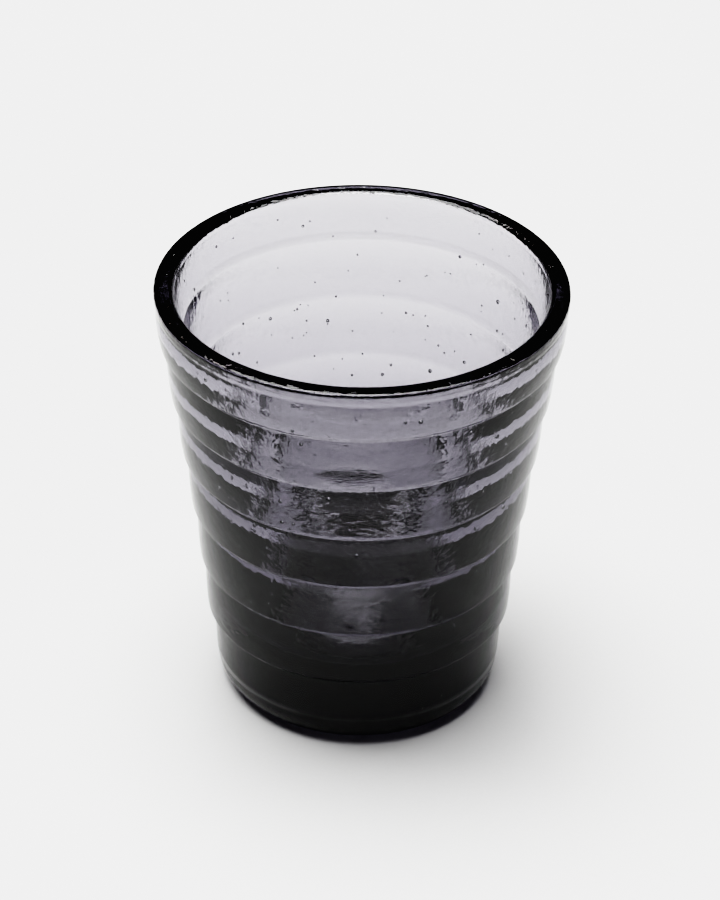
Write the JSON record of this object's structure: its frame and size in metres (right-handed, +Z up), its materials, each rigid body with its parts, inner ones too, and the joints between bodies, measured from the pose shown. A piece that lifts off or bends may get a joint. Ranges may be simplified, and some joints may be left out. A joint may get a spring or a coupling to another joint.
{
  "type": "whiskey tumbler",
  "caption": "Pressed-glass whiskey tumbler in smoke grey: a smooth rounded rim, a tapering body of stepped bands and a thick, heavy base.",
  "frame": {"origin": "centre of the foot, on the surface that the tumbler stands on", "axes": "+Z up along the tumbler's axis, from the foot to the rim; the body is round, so +X and +Y are any two square directions"},
  "size_m": [0.08, 0.08, 0.09],
  "materials": {
    "smoke_glass": "fire-polished soda-lime glass, smoke grey with a slight lavender cast, a few seeds and a faint press ripple"
  },
  "bodies": {
    "root": {"tumbler_body": "smoke_glass"}
  },
  "joints": []
}
